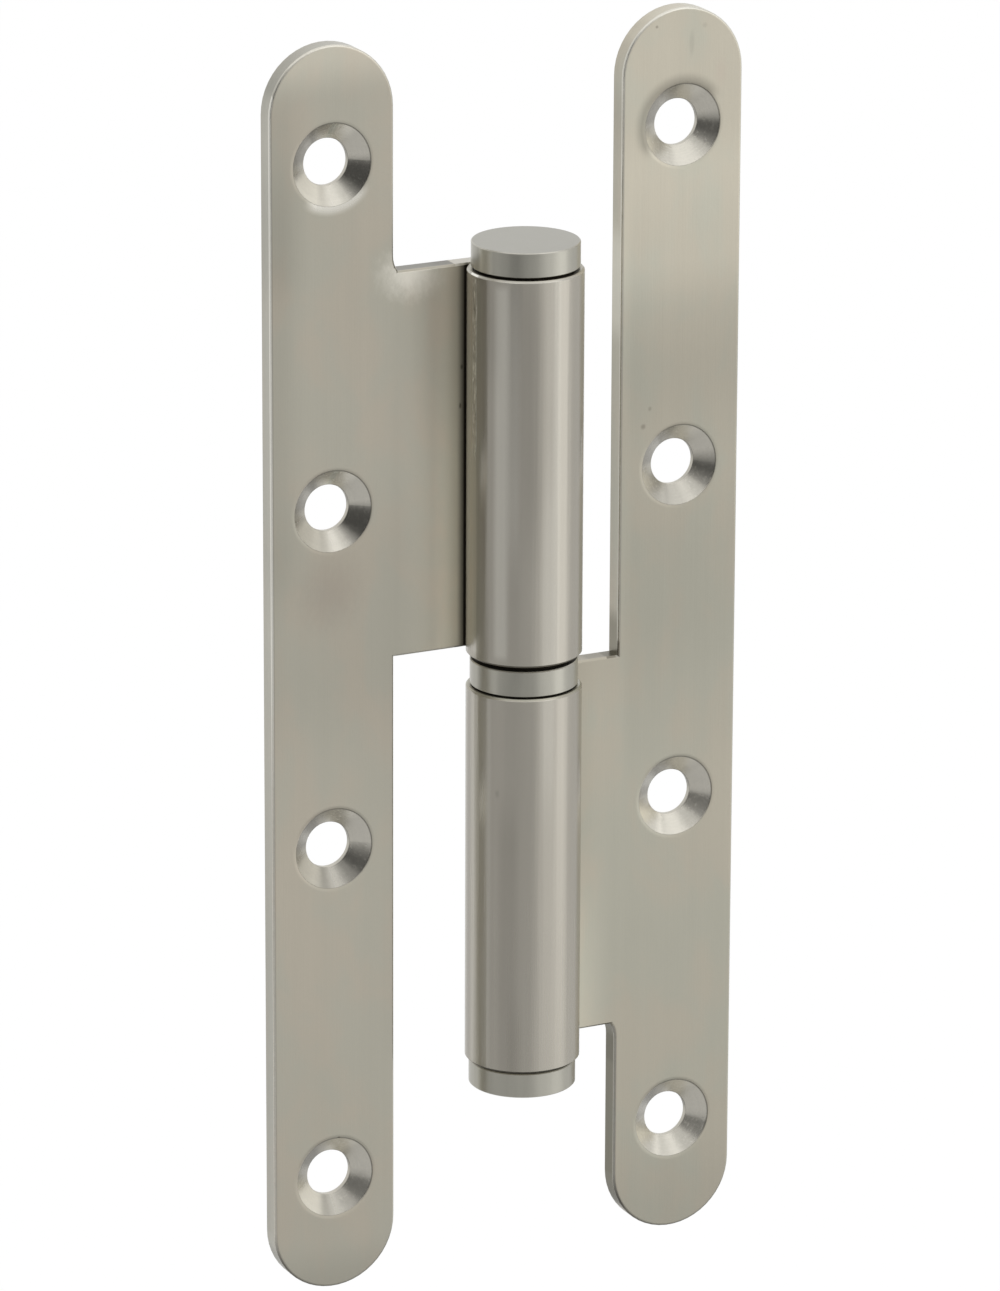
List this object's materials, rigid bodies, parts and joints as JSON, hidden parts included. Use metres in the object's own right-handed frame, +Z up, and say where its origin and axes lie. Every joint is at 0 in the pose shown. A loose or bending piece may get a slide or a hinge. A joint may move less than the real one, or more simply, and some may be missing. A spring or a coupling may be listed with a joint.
{
  "type": "lift-off paumelle hinge",
  "caption": "H-shaped lift-off paumelle hinge with round-ended screw strips, rolled knuckles and a bearing ring on a fixed pin, for hanging a door that lifts off.",
  "frame": {"origin": "on the pin's axis at mid height, at the middle of the bearing ring and of the overall box", "axes": "+Z up along the pin, +Y towards the backs of the leaves, which lie on the door and its frame, and the door leaf on -X"},
  "size_m": [0.064, 0.0144, 0.16],
  "materials": {
    "door_leaf": "satin, fine grain along the leaf",
    "frame_leaf": "satin, fine grain along the leaf",
    "hinge_pin": "turned and ground",
    "bearing_ring": "turned, satin",
    "top_cap": "turned, satin",
    "bottom_cap": "turned, satin"
  },
  "bodies": {
    "frame_half": {"frame_leaf": "frame_leaf", "hinge_pin": "hinge_pin", "bottom_cap": "bottom_cap"},
    "ring": {"bearing_ring": "bearing_ring"},
    "door_half": {"door_leaf": "door_leaf", "top_cap": "top_cap"}
  },
  "joints": [
    {"name": "swing", "type": "hinge", "parent": "frame_half", "child": "ring", "pos_m": [0, 0, 0], "axis": [0, 0, 1], "range_deg": [-128, 180]},
    {"name": "lift_off", "type": "slide", "parent": "ring", "child": "door_half", "axis": [0, 0, 1], "range_m": [0, 0.04]}
  ]
}
